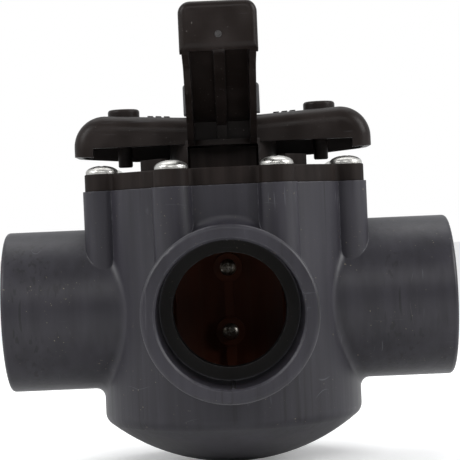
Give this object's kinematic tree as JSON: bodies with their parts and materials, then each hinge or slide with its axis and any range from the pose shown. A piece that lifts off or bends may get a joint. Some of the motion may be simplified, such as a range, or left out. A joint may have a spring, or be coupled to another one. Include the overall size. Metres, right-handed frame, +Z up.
{
  "type": "three way diverter valve",
  "caption": "Three way plastic diverter valve with glue sockets, a domed body, a screwed lid and a long-armed handle on a quarter-turn diverter.",
  "frame": {"origin": "centre of the front port's mouth, on the three ports' common plane", "axes": "-Y out of the front port, +X out of the right port, -X out of the left port, +Z up along the stem to the handle"},
  "size_m": [0.202, 0.1644, 0.1999],
  "materials": {
    "body_pvc": "grey moulded PVC, satin",
    "lid_plastic": "black moulded plastic, fine grain",
    "handle_plastic": "black moulded plastic, satin",
    "knob_plastic": "dark grey moulded plastic",
    "diverter_plastic": "black moulded plastic",
    "seal_rubber": "EPDM rubber",
    "stainless": "stainless steel, tumbled",
    "acetal": "natural acetal"
  },
  "bodies": {
    "valve": {"valve_body": "body_pvc", "lid": "lid_plastic", "lid_seal": "seal_rubber", "lid_screw_1": "stainless", "lid_screw_2": "stainless", "lid_screw_3": "stainless", "lid_screw_4": "stainless", "lid_screw_5": "stainless", "lid_screw_6": "stainless", "lid_screw_7": "stainless", "lid_screw_8": "stainless"},
    "turning": {"handle": "handle_plastic", "diverter": "diverter_plastic", "diverter_seal": "seal_rubber", "clamp_plate": "stainless", "clamp_screw_lower": "stainless", "clamp_screw_upper": "stainless", "stem_seal_lower": "seal_rubber", "stem_seal_upper": "seal_rubber", "thrust_washer": "acetal", "knob_washer": "stainless"},
    "knob": {"knob": "knob_plastic", "knob_stud": "stainless"},
    "left_plug": {"lock_cap_left": "handle_plastic", "lock_pin_left": "handle_plastic"},
    "right_plug": {"lock_cap_right": "handle_plastic", "lock_pin_right": "handle_plastic"}
  },
  "joints": [
    {"name": "handle_turn", "type": "hinge", "parent": "valve", "child": "turning", "pos_m": [0, 0.101, 0.06], "axis": [0, 0, 1], "range_deg": [-90, 90]},
    {"name": "knob_turn", "type": "hinge", "parent": "turning", "child": "knob", "pos_m": [0, 0.101, 0.09], "axis": [0, 0, 1], "range_deg": [0, 360]},
    {"name": "left_plug_press", "type": "slide", "parent": "turning", "child": "left_plug", "axis": [0, 0, -1], "range_m": [0, 0.0055]},
    {"name": "right_plug_press", "type": "slide", "parent": "turning", "child": "right_plug", "axis": [0, 0, -1], "range_m": [0, 0.0055]}
  ]
}
